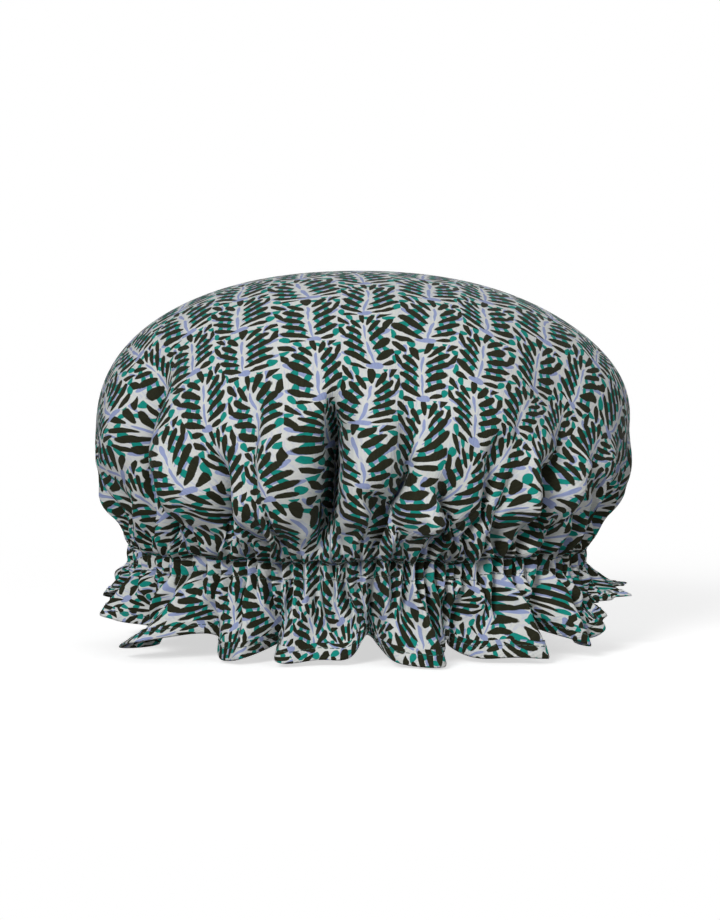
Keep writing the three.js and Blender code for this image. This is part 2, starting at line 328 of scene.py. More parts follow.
@dataclass(frozen=True)
class PrintedCotton:
    """Plain woven cotton, screen printed with leaf sprigs in brush dabs.

    The weave gives it a dull face with a faint bloom at grazing angles. The print soaks in, so its
    edges are a little ragged and its colours are paler in dry streaks.
    """

    name: str
    ground: str = "#e2e4e1"
    ground_streak: str = "#c6cce0"
    wash: str = "#8f9dcb"
    wash_pale: str = "#a9b4da"
    bud: str = "#00857a"
    bud_pale: str = "#1d9c8e"
    leaf: str = "#17180a"
    leaf_pale: str = "#313122"
    sprig_width: float = 27.5
    sprig_height: float = 33.5
    # Each sprig is moved by up to nudge mm and turned by up to tilt radians, by chance
    nudge: float = 0.4
    tilt: float = 0.1
    stagger: float = 2.2
    # Scale per mm and reach in mm of the two noises that bend the rows of sprigs
    wander: tuple = ((0.022, 21.0), (0.18, 1.5))
    # Scale per mm of the streaks across and along, and the noise from which they show to where they are full
    streak_scale: tuple = (0.9, 0.22, 0)
    dry_streak: tuple = (0.52, 0.74)
    # How far streaks move the edge of a dab, and where that edge begins and ends
    raggedness: float = 0.3
    dab_edge: tuple = (1.11, 1.19)
    # Real threads are about 0.3 mm apart, and are drawn coarser here so that they show
    thread_pitch: float = 1.4

    def dab_field(self, tree: bpy.types.NodeTree, dabs: tuple, places: dict) -> bpy.types.NodeSocket:
        """Nearness to the closest of several dabs.

        Each dab is an ellipse that narrows to its foot: the point, seen from the dab's middle and
        turned to its lean, has its x and y divided by half the width and half the length, x is made
        larger towards the foot, and the length of that is 1 on the edge.

        Args:
            tree: The material's node tree.
            dabs: Dabs of one colour.
            places: Points seen from the sprig's middle, keyed by whether they are paired.

        Returns:
            Socket that is under 1 inside a dab.
        """
        nearest = None
        for dab in dabs:
            seen = add(
                tree, "VectorMath", {0: places[dab.paired], 1: (dab.x, dab.y, 0)}, operation="SUBTRACT"
            )
            turned = add(
                tree,
                "VectorRotate",
                {"Vector": seen, "Angle": math.radians(dab.lean)},
                rotation_type="Z_AXIS",
            )
            scaled = add(
                tree, "VectorMath", {0: turned, 1: (2 / dab.width, 2 / dab.length, 0)}, operation="MULTIPLY"
            )
            parts = add(tree, "SeparateXYZ", {0: scaled})
            narrowing = add(
                tree, "Math", {0: parts.outputs["Y"], 1: -0.35, 2: 1.15}, operation="MULTIPLY_ADD"
            )
            side = add(tree, "Math", {0: parts.outputs["X"], 1: narrowing}, operation="MULTIPLY")
            club = add(tree, "CombineXYZ", {"X": side, "Y": parts.outputs["Y"]})
            far = add(tree, "VectorMath", {0: club}, operation="LENGTH").outputs["Value"]
            if nearest is None:
                nearest = far
            else:
                nearest = add(tree, "Math", {0: nearest, 1: far}, operation="MINIMUM").outputs[0]
        return nearest

    def sprig_places(self, tree: bpy.types.NodeTree, cloth: bpy.types.NodeSocket) -> dict:
        """Points of the cloth as seen from the middle of their sprig, in mm.

        Sprigs stand in columns, and every second column is moved by half a sprig. Each sprig is
        turned and moved a little by chance. For the paired dabs x is taken without its sign, and
        the right half is moved up so that the leaves stand alternately.

        Args:
            tree: The material's node tree.
            cloth: Place on the flat cloth in mm.

        Returns:
            Nodes keyed by whether the dabs are paired.
        """
        pitch = (self.sprig_width, self.sprig_height, 1)
        split = add(tree, "SeparateXYZ", {0: cloth})
        column = add(tree, "Math", {0: split.outputs["X"], 1: self.sprig_width}, operation="DIVIDE")
        column = add(tree, "Math", {0: column}, operation="FLOOR")
        half = add(tree, "Math", {0: column, 1: 0.5}, operation="MULTIPLY")
        half = add(tree, "Math", {0: half}, operation="FRACT")
        drop = add(tree, "Math", {0: half, 1: self.sprig_height}, operation="MULTIPLY")
        drop = add(tree, "CombineXYZ", {"Y": drop})
        placed = add(tree, "VectorMath", {0: cloth, 1: drop}, operation="ADD")
        cell = add(tree, "VectorMath", {0: placed, 1: pitch}, operation="DIVIDE")
        cell = add(tree, "VectorMath", {0: cell}, operation="FLOOR")
        half_pitch = (self.sprig_width / 2, self.sprig_height / 2, 0)
        middle = add(tree, "VectorMath", {0: cell, 1: pitch, 2: half_pitch}, operation="MULTIPLY_ADD")
        local = add(tree, "VectorMath", {0: placed, 1: middle}, operation="SUBTRACT")
        chance = add(tree, "TexWhiteNoise", {"Vector": cell}, noise_dimensions="3D")
        both_ways = (2 * self.nudge, 2 * self.nudge, 0)
        back = (-self.nudge, -self.nudge, 0)
        nudge = add(
            tree, "VectorMath", {0: chance.outputs["Color"], 1: both_ways, 2: back}, operation="MULTIPLY_ADD"
        )
        local = add(tree, "VectorMath", {0: local, 1: nudge}, operation="ADD")
        tilt = add(
            tree,
            "Math",
            {0: chance.outputs["Value"], 1: 2 * self.tilt, 2: -self.tilt},
            operation="MULTIPLY_ADD",
        )
        turned = add(tree, "VectorRotate", {"Vector": local, "Angle": tilt}, rotation_type="Z_AXIS")
        parts = add(tree, "SeparateXYZ", {0: turned})
        right = add(tree, "Math", {0: parts.outputs["X"], 1: 0.0}, operation="GREATER_THAN")
        raised = add(
            tree, "Math", {0: right, 1: -self.stagger, 2: parts.outputs["Y"]}, operation="MULTIPLY_ADD"
        )
        folded = add(tree, "Math", {0: parts.outputs["X"]}, operation="ABSOLUTE")
        paired = add(tree, "CombineXYZ", {"X": folded, "Y": raised})
        flat = add(tree, "CombineXYZ", {"X": parts.outputs["X"], "Y": parts.outputs["Y"]})
        return {True: paired, False: flat}

    def weave(self, tree: bpy.types.NodeTree, cloth: bpy.types.NodeSocket) -> bpy.types.NodeSocket:
        """Height of the woven face: warp and weft as two sine waves, with soft small creases."""
        step = 2 * math.pi / self.thread_pitch
        phases = add(tree, "VectorMath", {0: cloth, 1: (step, step, 0)}, operation="MULTIPLY")
        parts = add(tree, "SeparateXYZ", {0: phases})
        warp = add(tree, "Math", {0: parts.outputs["X"]}, operation="SINE")
        weft = add(tree, "Math", {0: parts.outputs["Y"]}, operation="SINE")
        woven = add(tree, "Math", {0: weft, 1: 0.45, 2: warp}, operation="MULTIPLY_ADD")
        crease = add(tree, "TexNoise", {"Vector": cloth, "Scale": 0.12, "Detail": 3.0, "Roughness": 0.55})
        height = add(tree, "Math", {0: crease.outputs["Fac"], 1: 6.0, 2: woven}, operation="MULTIPLY_ADD")
        return height.outputs[0]

    def material(self) -> bpy.types.Material:
        """The cloth's material, laid out on the cut map in mm."""
        material, tree = new_tree(self.name)
        place = add(tree, "UVMap", uv_map=CUT_MAP)
        cloth = add(
            tree, "VectorMath", {0: place.outputs["UV"], 1: (1 / MM, 1 / MM, 0)}, operation="MULTIPLY"
        ).outputs[0]
        shifted = cloth
        for scale, reach in self.wander:
            wobble = add(tree, "TexNoise", {"Vector": cloth, "Scale": scale, "Detail": 1.0})
            shifted = add(
                tree,
                "VectorMath",
                {0: wobble.outputs["Color"], 1: (reach, reach, 0), 2: shifted},
                operation="MULTIPLY_ADD",
            ).outputs[0]
        places = self.sprig_places(tree, shifted)
        streak_place = add(tree, "VectorMath", {0: shifted, 1: self.streak_scale}, operation="MULTIPLY")
        streak = add(tree, "TexNoise", {"Vector": streak_place, "Scale": 1.0, "Detail": 4.0})
        first, last = self.dry_streak
        ground = add(tree, "MapRange", {"Value": streak.outputs["Fac"], "From Min": first, "From Max": last})
        colour = add(
            tree,
            "Mix",
            {"Factor": ground, "A": linear(self.ground), "B": linear(self.ground_streak)},
            data_type="RGBA",
        ).outputs["Result"]
        layers = (
            (WASH_DABS, self.wash, self.wash_pale),
            (BUD_DABS, self.bud, self.bud_pale),
            (LEAF_DABS, self.leaf, self.leaf_pale),
        )
        soft, clear = self.dab_edge
        for dabs, dark, pale in layers:
            near = self.dab_field(tree, dabs, places)
            ragged = add(
                tree,
                "Math",
                {0: streak.outputs["Fac"], 1: self.raggedness, 2: near},
                operation="MULTIPLY_ADD",
            )
            inside = add(
                tree,
                "MapRange",
                {"Value": ragged, "From Min": soft, "From Max": clear, "To Min": 1.0, "To Max": 0.0},
            )
            ink = add(
                tree,
                "Mix",
                {"Factor": streak.outputs["Fac"], "A": linear(dark), "B": linear(pale)},
                data_type="RGBA",
            )
            layered = add(
                tree, "Mix", {"Factor": inside, "A": colour, "B": ink.outputs["Result"]}, data_type="RGBA"
            )
            colour = layered.outputs["Result"]
        looks = {
            "Base Color": colour,
            "Roughness": 0.82,
            "Specular IOR Level": 0.15,
            "Sheen Weight": 0.03,
            "Sheen Roughness": 0.5,
        }
        finish_tree(tree, self.weave(tree, cloth), strength=0.35, distance=0.0002, looks=looks)
        return material


@dataclass(frozen=True)
class WaterproofFilm:
    """Cast vinyl film: smooth and satin, with soft crumples from being gathered."""

    name: str = "cast_vinyl_film"
    colour: str = "#e7e9e4"
    crumple_size: float = 14.0

    def material(self) -> bpy.types.Material:
        """The film's material, with crumples laid out in mm on Object coordinates."""
        material, tree = new_tree(self.name)
        place = add(tree, "TexCoord").outputs["Object"]
        crumple = add(
            tree,
            "TexNoise",
            {"Vector": place, "Scale": 1 / (self.crumple_size * MM), "Detail": 3.0, "Distortion": 0.6},
        )
        dullness = add(tree, "MapRange", {"Value": crumple.outputs["Fac"], "To Min": 0.30, "To Max": 0.46})
        looks = {"Base Color": linear(self.colour), "Roughness": dullness, "IOR": 1.53}
        finish_tree(tree, crumple.outputs["Fac"], strength=0.5, distance=0.0012, looks=looks)
        return material


@dataclass(frozen=True)
class BraidedElastic:
    """Braided polyester elastic: dull white, with slanted ribs that cross. The grooves between the ribs are
    painted darker, as painted shade.
    """

    name: str = "braided_elastic"
    colour: str = "#efeeea"
    # Painted shade colour for the grooves between the ribs
    shade: str = "#cfcec8"
    rib_pitch: float = 0.9

    def material(self) -> bpy.types.Material:
        """The elastic's material, ribbed on its cut map in mm."""
        material, tree = new_tree(self.name)
        place = add(tree, "UVMap", uv_map=CUT_MAP)
        step = 2 * math.pi / (self.rib_pitch * MM)
        ways = []
        for slant in (1.0, -1.0):
            phase = add(
                tree,
                "VectorMath",
                {0: place.outputs["UV"], 1: (step, slant * step, 0)},
                operation="DOT_PRODUCT",
            )
            ways.append(add(tree, "Math", {0: phase.outputs["Value"]}, operation="SINE").outputs[0])
        rib = add(tree, "Math", {0: ways[0], 1: ways[1]}, operation="MAXIMUM")
        # Painted shade: the colour goes from the elastic's own white on the ribs to the darker shade colour
        # in the grooves
        tone = add(
            tree, "Mix", {"Factor": rib, "A": linear(self.shade), "B": linear(self.colour)}, data_type="RGBA"
        )
        looks = {"Base Color": tone.outputs["Result"], "Roughness": 0.8, "Sheen Weight": 0.2}
        finish_tree(tree, rib, strength=0.6, distance=0.0002, looks=looks)
        return material


@dataclass(frozen=True)
class SpunThread:
    """Spun polyester sewing thread: dull, with a fine twist and a soft gleam. The twist's crests are painted
    lighter and its grooves darker, as painted light and shade.
    """

    name: str
    colour: str
    # Painted shade colour for the grooves of the twist, while colour shows on its crests
    shade: str
    twist_pitch: float = 0.6

    def material(self) -> bpy.types.Material:
        """The thread's material, twisted on its cut map in mm."""
        material, tree = new_tree(self.name)
        place = add(tree, "UVMap", uv_map=CUT_MAP)
        step = 2 * math.pi / (self.twist_pitch * MM)
        phase = add(
            tree, "VectorMath", {0: place.outputs["UV"], 1: (step, step, 0)}, operation="DOT_PRODUCT"
        )
        twist = add(tree, "Math", {0: phase.outputs["Value"]}, operation="SINE")
        # Painted light and shade: the twist's crests get the thread's colour and its grooves the darker
        # shade colour
        lit = add(tree, "MapRange", {"Value": twist, "From Min": -1.0})
        tone = add(
            tree, "Mix", {"Factor": lit, "A": linear(self.shade), "B": linear(self.colour)}, data_type="RGBA"
        )
        looks = {"Base Color": tone.outputs["Result"], "Roughness": 0.6, "Sheen Weight": 0.2}
        finish_tree(tree, twist, strength=0.4, distance=0.0001, looks=looks)
        return material


# The round of cloth


@dataclass(frozen=True)
class Fold:
    """A valley of the crown that runs up from the casing.

    Angles are in degrees from the front towards the right, and lengths in mm. It starts at turn, has
    moved by lean at the top of its rise, and is depth deep and width wide at its side. A pinch near 1
    makes its sides stand steep.
    """

    turn: float
    lean: float
    rise: float
    depth: float
    width: float
    pinch: float = 0.85


@dataclass(frozen=True)
class Swell:
    """A fuller place of the crown: its turn in degrees, height, reach round and up, and push in mm."""

    turn: float
    height: float
    around: float
    upwards: float
    push: float


@dataclass(frozen=True)
class Lift:
    """A place where the ruffle stands out more or is drawn up.

    Its turn, extra flare, reach and sideways lean are in degrees, and drawn is the share of the
    ruffle's length that is crumpled up there, or let down where it is under 0.
    """

    turn: float
    flare: float
    reach: float
    lean: float = 0.0
    drawn: float = 0.0

    def bell(self, theta: np.ndarray) -> np.ndarray:
        """Bell curve round the cap, 1 at the turn."""
        return np.exp(-((np.degrees(turn_apart(theta, self.turn)) / self.reach) ** 2))


@dataclass(frozen=True)
class Trough:
    """A place where the ruffle goes inwards: its turn in degrees, and its share of the common depth."""

    turn: float
    depth: float


FRONT_FOLDS = (
    Fold(-8.5, 3.5, 100, 62, 11, pinch=0.6),
    Fold(4, 9, 96, 26, 8),
    Fold(27, -16, 58, 22, 8),
    Fold(31, -3, 42, 12, 7),
    Fold(38, 16, 82, 26, 9),
    Fold(47, 13, 56, 14, 7),
    Fold(16, 1, 40, 10, 6),
    Fold(-20, 3, 44, 12, 7),
    Fold(-33, 4, 66, 42, 9),
    Fold(-43, 0, 40, 10, 6),
    Fold(-51, -6, 108, 40, 13),
)
SIDE_AND_BACK_FOLDS = (
    Fold(67, 2, 56, 10, 8),
    Fold(80, 2, 66, 9, 9),
    Fold(104, -4, 70, 12, 9),
    Fold(127, 5, 66, 15, 8),
    Fold(149, -6, 92, 22, 9),
    Fold(172, 4, 62, 15, 8),
    Fold(-166, -3, 86, 20, 9),
    Fold(-142, 6, 66, 15, 8),
    Fold(-117, -5, 80, 18, 9),
    Fold(-94, 3, 56, 9, 9),
    Fold(-72, -3, 60, 11, 8),
)
SWELLS = (
    Swell(82, 84, 45, 28, 5),
    Swell(-84, 40, 45, 34, -4),
    Swell(-20, 62, 32, 30, 6),
    Swell(24, 80, 32, 26, 6),
    Swell(84, 22, 45, 22, -4),
    Swell(-84, 22, 45, 22, -6),
)
LIFTS = (
    Lift(-47, 24, 7, lean=-5),
    Lift(-31, -6, 6),
    Lift(-11, 8, 9),
    Lift(12, 6, 9),
    Lift(92, 28, 26, drawn=0.42),
    Lift(-84, 8, 24, drawn=0.48),
    Lift(-55, 0, 6, drawn=-0.2),
)
RUFFLE_TROUGHS = (
    Trough(0, 1.0),
    Trough(24, 1.15),
    Trough(48, 1.0),
    Trough(70, 0.3),
    Trough(104, 0.8),
    Trough(126, 1.0),
    Trough(147, 1.1),
    Trough(168, 0.85),
    Trough(191, 1.0),
    Trough(212, 0.8),
    Trough(236, 1.05),
    Trough(257, 0.9),
    Trough(279, 0.8),
    Trough(303, 1.2),
    Trough(321, 0.5),
    Trough(338.5, 1.0),
)
TROUGH_ENDS = np.radians([trough.turn for trough in RUFFLE_TROUGHS] + [360])
# Length in the cloth solver for each mm, which is ten times the real size
SOLVER_SCALE = 0.01


@dataclass
class CoverCloth:
    """The cut round of printed cotton and the form that it is drawn into, in mm.

    A point of the round has an angle theta from the front towards the right, and a radius from the
    round's middle. The crown reaches out to crown_radius, then come the casing and the ruffle.
    """

    # The flat round and its points
    crown_radius: float = 230.0
    casing_height: float = 8.0
    ruffle_length: float = 41.0
    ring_step: float = 5.0
    ruffle_rows: int = 8
    columns: int = 576
    least_step: float = 2.1
    # The plain form of the crown and neck
    crown_width: float = 257.0
    crown_depth: float = 188.0
    dome_rise: float = 84.0
    bulge_height: float = 54.0
    fullness: float = 0.9
    side_draw_in: float = 1.75
    front_draw_in: float = 4.2
    neck_width: float = 213.0
    neck_depth: float = 143.0
    seam_height: float = 48.1
    top_height: float = 180.4
    seam_sag: float = 4.0
    # The shape without strain, and the firm middle of the crown
    shaped_radius: float = 100.0
    loose_radius: float = 190.0
    loose_slope: float = 0.88
    firm_front: float = 50.0
    firm_side: float = 100.0
    firm_fade: float = 80.0
    # Gathers and creases
    gather_count: int = 104
    gather_depth: float = 4.4
    gather_sharpness: float = 2.3
    crease_count: int = 64
    ridge_share: float = 0.28
    ridge_width: float = 2.4
    casing_puff: float = 1.0
    seam_wander: float = 0.8
    # Settling, and how much of the start shape each place keeps
    cloth_frames: int = 14
    cloth_pressure: float = 2.5
    hem_hold: float = 0.3
    valley_keep: float = 0.85
    gather_keep: float = 0.5
    side_keep: float = 0.7
    pleat_keep: float = 0.2
    pleat_press: float = 2.1
    corner_columns: float = 4.0
    # The ruffle: its flare in degrees, the turn of its troughs and how far they are drawn up
    ruffle_flare: float = 22.0
    side_flare: float = 12.0
    lobe_swing: float = 0.16
    trough_turn: float = 38.0
    trough_rise: float = 0.28
    hem_sharpness: float = 1.6
    trough_sharpness: float = 1.8
    scallop_even: float = 0.6
    # Size of the cut round, between the ways over the front and over the sides
    cut_diameter: float = 520.0
    rings: np.ndarray = field(init=False)
    counts: np.ndarray = field(init=False)
    theta: np.ndarray = field(init=False)
    radius: np.ndarray = field(init=False)
    points: np.ndarray = field(init=False)
    faces: list = field(init=False)

    def __post_init__(self) -> None:
        """Lays out the rings of the round and works out its settled shape."""
        self.lay_rings()
        start = self.start_shape()
        self.points = self.settle(self.bring_back(start, self.drape(start)))

    @property
    def lower_radius(self) -> float:
        """Radius of the lower casing seam on the flat round."""
        return self.crown_radius + self.casing_height

    @property
    def hem_radius(self) -> float:
        """Radius of the cut round."""
        return self.lower_radius + self.ruffle_length

    @property
    def row_step(self) -> float:
        """Way from one refined row of the ruffle to the next."""
        return self.ruffle_length / (2 * self.ruffle_rows)

    @property
    def starts(self) -> np.ndarray:
        """Number of each ring's first point."""
        return running_sum(self.counts)

    @property
    def lower_seam_start(self) -> int:
        """Number of the first point on the lower casing seam."""
        return self.starts[np.searchsorted(self.rings, self.lower_radius - 1e-6)]

    def lay_rings(self) -> None:
        """Rings of points round the middle, with twice as many points where they would be too far apart.

        Between two rings of equal count each pair of points gives a quad. Where the count doubles, each
        step of the inner ring meets two of the outer one in three triangles, and the middle is a fan.
        """
        crown = np.linspace(0, self.crown_radius, round(self.crown_radius / self.ring_step) + 1)
        casing = np.array([self.crown_radius + self.casing_height / 2, self.lower_radius])
        ruffle = np.linspace(self.lower_radius, self.hem_radius, self.ruffle_rows + 1)[1:]
        self.rings = np.concatenate([crown, casing, ruffle])
        around = 2 * np.pi * np.maximum(self.rings, 1)
        doublings = np.floor(np.log2(self.columns * self.least_step / around) + 1)
        self.counts = self.columns // 2 ** np.clip(doublings, 0, 4).astype(int)
        self.counts[0] = 1
        starts = self.starts
        self.theta = np.concatenate([np.arange(n) * 2 * np.pi / n for n in self.counts])
        self.radius = np.repeat(self.rings, self.counts)
        faces = []
        for inner, outer, n, m in zip(starts[:-2], starts[1:-1], self.counts[:-1], self.counts[1:]):
            i = np.arange(n)
            j = (i + 1) % n
            if n == 1:
                k = np.arange(m)
                faces += np.stack([0 * k, outer + k, outer + (k + 1) % m], 1).tolist()
            elif n == m:
                faces += np.stack([inner + i, outer + i, outer + j, inner + j], 1).tolist()
            else:
                faces += np.stack([inner + i, outer + 2 * i, outer + 2 * i + 1], 1).tolist()
                faces += np.stack([inner + i, outer + 2 * i + 1, inner + j], 1).tolist()
                faces += np.stack([inner + j, outer + 2 * i + 1, outer + (2 * i + 2) % m], 1).tolist()
        self.faces = faces

    def profile(self, share: np.ndarray) -> tuple[np.ndarray, np.ndarray, np.ndarray]:
        """Plain form of the crown by share of its length from top to seam.

        The upper half is a quarter of a full oval, with sine and cosine to a power. Below the bulge both
        half widths draw in to the neck by a power of the way down, later at the front and back than at
        the sides. Just above the seam the cloth sags by half a sine wave, so that it hangs over it.

        Args:
            share: 0 at the top of the crown to 1 at the upper seam.

        Returns:
            Half width, half depth and height above the seam.
        """
        step = np.linspace(0, 1, 600)
        quarter = np.clip(2 * step, 0, 1) * np.pi / 2
        down = np.clip(2 * step - 1, 0, 1)
        neck_in = (self.crown_width - self.neck_width) / 2 * down**self.side_draw_in
        neck_back = (self.crown_depth - self.neck_depth) / 2 * down**self.front_draw_in
        wide = self.crown_width / 2 * np.sin(quarter) ** self.fullness - neck_in
        deep = self.crown_depth / 2 * np.sin(quarter) ** self.fullness - neck_back
        high = self.bulge_height * (1 - down) + self.dome_rise * np.cos(quarter) ** self.fullness
        sag_start, sag_length = 0.8, 0.2
        high -= self.seam_sag * np.sin(np.pi * np.clip((down - sag_start) / sag_length, 0, 1))
        steps = np.hypot(np.diff((wide + deep) / 2), np.diff(high))
        length = running_sum(steps)
        length = length / length[-1]
        return tuple(np.interp(share, length, values) for values in (wide, deep, high))

    def gathers(self) -> tuple[np.ndarray, np.ndarray, np.ndarray]:
        """Gathers of the casing as three waves round the cap.

        Gathers of uneven width are numbered round the cap, which gives a running number that needn't
        rise evenly. The first wave has a round crest and a sharp crease for each gather: 1 less twice
        a power of a cosine without its sign. The others are cosines with a half and a quarter crest
        for each gather. All are times the size of each gather.
        """
        chance = np.random.default_rng(5)
        gaps = chance.uniform(0.55, 1.45, self.gather_count)
        ends = running_sum(gaps) / gaps.sum()
        number = np.interp((self.theta / (2 * np.pi)) % 1, ends, np.arange(self.gather_count + 1))
        sizes = chance.uniform(0.55, 1.35, self.gather_count)
        size = np.interp(number, np.arange(self.gather_count + 1), np.append(sizes, sizes[0]))
        fine = size * (1 - 2 * np.abs(np.cos(np.pi * number)) ** self.gather_sharpness)
        second = size * np.cos(np.pi * number + 0.6)
        third = size * np.cos(np.pi * number / 2 + 1.1)
        return fine, second, third

    def pleats(self) -> np.ndarray:
        """Gathers of the casing and of the ruffle, where they merge two by two on the way down."""
        fine, second, third = self.gathers()
        share = np.clip(self.radius - self.lower_radius, 0, None) / self.ruffle_length
        pleat = fine * (1 - ease(share, 0.2, 0.9))
        pleat += 1.6 * second * ease(share, 0, 0.4) * (1 - 0.3 * ease(share, 0.5, 1))
        return pleat + 1.8 * third * ease(share, 0.2, 0.8)

    def lobes(self, theta: np.ndarray) -> np.ndarray:
        """Running number of the ruffle's lobes, which is whole at each trough."""
        return np.interp(theta, TROUGH_ENDS, np.arange(len(TROUGH_ENDS)))

    def drawn_up(self, theta: np.ndarray) -> np.ndarray:
        """Share of the ruffle's length that is crumpled up: some in each trough, and more at the sides."""
        drawn = self.trough_rise * ((1 + np.cos(2 * np.pi * self.lobes(theta))) / 2) ** self.hem_sharpness
        for raised in LIFTS:
            drawn += raised.drawn * raised.bell(theta)
        return drawn

    def small_folds(self) -> list[Fold]:
        """Creases of chance size and place that run a short way up from the casing all round."""
        chance = np.random.default_rng(11)
        count = self.crease_count
        turns = (np.arange(count) + chance.uniform(-0.4, 0.4, count)) * 360 / count
        leans = chance.uniform(-7, 7, count)
        rises = chance.uniform(26, 62, count)
        depths = chance.uniform(6, 15, count)
        widths = chance.uniform(2.4, 4.2, count)
        return [Fold(*values) for values in zip(turns, leans, rises, depths, widths)]

    def crown_folds(self, height: np.ndarray) -> tuple[np.ndarray, np.ndarray]:
        """Push outwards and slide round the cap that the folds and swells give.

        A fold is a narrow bell curve inwards with a wide low one outwards beside it, and its sides slide
        towards its middle, so that they stand steep. It fades out towards the top of its rise and at the
        seam. A swell is a bell curve outwards.

        Args:
            height: Height of each point above the seam.

        Returns:
            Push in mm and slide in radians.
        """
        reach = (self.crown_width + self.crown_depth) / 4
        push = np.zeros_like(height)
        slide = np.zeros_like(height)
        for fold in [*FRONT_FOLDS, *SIDE_AND_BACK_FOLDS, *self.small_folds()]:
            middle = fold.turn + fold.lean * height / fold.rise
            apart = turn_apart(self.theta, middle) * reach / fold.width
            fade = (1 - ease(height, fold.rise * 0.5, fold.rise)) * ease(height, 0, 30)
            bell = np.exp(-(apart**2))
            ridge = self.ridge_share * np.exp(-((apart / self.ridge_width) ** 2))
            push -= fold.depth * fade * (bell - ridge)
            slide -= fold.pinch * fold.width * apart * bell * fade
        for swell in SWELLS:
            around = turn_apart(self.theta, swell.turn) * reach / swell.around
            push += swell.push * np.exp(-(around**2) - ((height - swell.height) / swell.upwards) ** 2)
        return push, slide / reach

    def ruffle_angles(self, share: np.ndarray) -> tuple[np.ndarray, np.ndarray]:
        """Flare of the ruffle and its swing round the cap.

        The flare is larger at the sides, changes by each lift, and is smaller in the troughs. The swing
        moves the sides of each lobe towards the troughs beside it, so that the lobe is fuller.

        Args:
            share: 0 at the lower seam to 1 at the hem.

        Returns:
            Both in radians.
        """
        theta = self.theta
        lobe = self.lobes(theta)
        depths = [trough.depth for trough in RUFFLE_TROUGHS]
        spread = np.diff(TROUGH_ENDS)[np.clip(lobe.astype(int), 0, len(TROUGH_ENDS) - 2)]
        trough = ((1 + np.cos(2 * np.pi * lobe)) / 2) ** self.trough_sharpness
        trough *= np.interp(lobe, np.arange(len(TROUGH_ENDS)), depths + depths[:1])
        lift = np.zeros_like(theta)
        lean = np.zeros_like(theta)
        for raised in LIFTS:
            bell = raised.bell(theta)
            lift += raised.flare * bell
            lean += np.radians(raised.lean) * bell
        flare = self.ruffle_flare + self.side_flare * np.sin(theta) ** 4 + lift * share
        flare = np.radians(flare - self.trough_turn * trough * ease(share, 0, 0.5))
        return flare, lean - self.lobe_swing * np.sin(2 * np.pi * lobe) * spread

    def start_shape(self) -> np.ndarray:
        """Shape of the cloth before it settles.

        The crown is the plain profile, pushed and slid by the folds and waved by the gathers, which
        merge two by two on the way up. The casing is an upright band with the fine gathers. The ruffle
        hangs from it at an angle that is larger at the sides and smaller in its troughs.

        Returns:
            Points in mm.
        """
        theta, radius = self.theta, self.radius
        crown = radius < self.crown_radius - 1e-6
        ruffle = radius > self.lower_radius + 1e-6
        wide, deep, height = self.profile(np.clip(radius / self.crown_radius, 0, 1))
        push, slide = self.crown_folds(height)
        fine, second, third = self.gathers()
        up = np.where(crown, height, 0)
        gather = fine * (1 - ease(up, 4, 22))
        gather += 1.5 * second * ease(up, 0, 12) * (1 - ease(up, 16, 42))
        gather += 1.7 * third * ease(up, 8, 26) * (1 - ease(up, 30, 66))
        down = np.clip(radius - self.lower_radius, 0, None)
        share = down / self.ruffle_length
        flare, swing = self.ruffle_angles(share)
        slide = np.where(crown, slide, 0)
        slide += np.where(ruffle, swing * ease(share, 0.1, 0.9), 0)
        out = np.where(crown, push, down * np.sin(flare))
        out += self.gather_depth * np.where(crown, gather, self.pleats())
        band = np.clip((radius - self.crown_radius) / self.casing_height, 0, 1)
        out += self.casing_puff * np.sin(np.pi * band)
        level = self.seam_height - np.clip(radius - self.crown_radius, 0, self.casing_height)
        wander = np.sin(9 * theta + 1) + np.sin(23 * theta) + 0.7 * np.sin(41 * theta + 2)
        level += self.seam_wander * wander
        z = np.where(crown, self.seam_height + height, level - down * np.cos(flare))
        x = wide * np.sin(theta + slide)
        y = -deep * np.cos(theta + slide)
        flat = np.maximum(np.hypot(x, y), 1e-6)
        grown = 1 + out * ease(flat, 0, 30) / flat
        return np.stack([x * grown, y * grown, z], axis=1)

    def rest_shape(self) -> np.ndarray:
        """Shape in which the cloth is free of strain.

        The upper crown is eased to its plain profile, as pressed cloth is. From there on the oval grows
        outwards by the radius times a slope, which goes from the profile's own to that of flat cloth,
        and the height falls so that the way out along the cloth keeps its length.

        Returns:
            Points in mm.
        """
        way = np.linspace(0, self.hem_radius, 1200)
        wide, deep, high = self.profile(np.clip(way / self.crown_radius, 0, 1))
        bend = np.searchsorted(way, self.shaped_radius)
        slope = np.gradient((wide + deep) / 2, way)[bend]
        slope = slope + (self.loose_slope - slope) * ease(way, self.shaped_radius, self.loose_radius)
        beyond = way > self.shaped_radius
        step = np.where(beyond, way[1], 0)
        grown = np.cumsum(step * slope)
        fallen = np.cumsum(step * np.sqrt(1 - slope**2))
        wide = np.where(beyond, wide[bend] + grown, wide)
        deep = np.where(beyond, deep[bend] + grown, deep)
        high = np.where(beyond, high[bend] - fallen, high)
        x = np.interp(self.radius, way, wide) * np.sin(self.theta)
        y = -np.interp(self.radius, way, deep) * np.cos(self.theta)
        return np.stack([x, y, np.interp(self.radius, way, high)], axis=1)

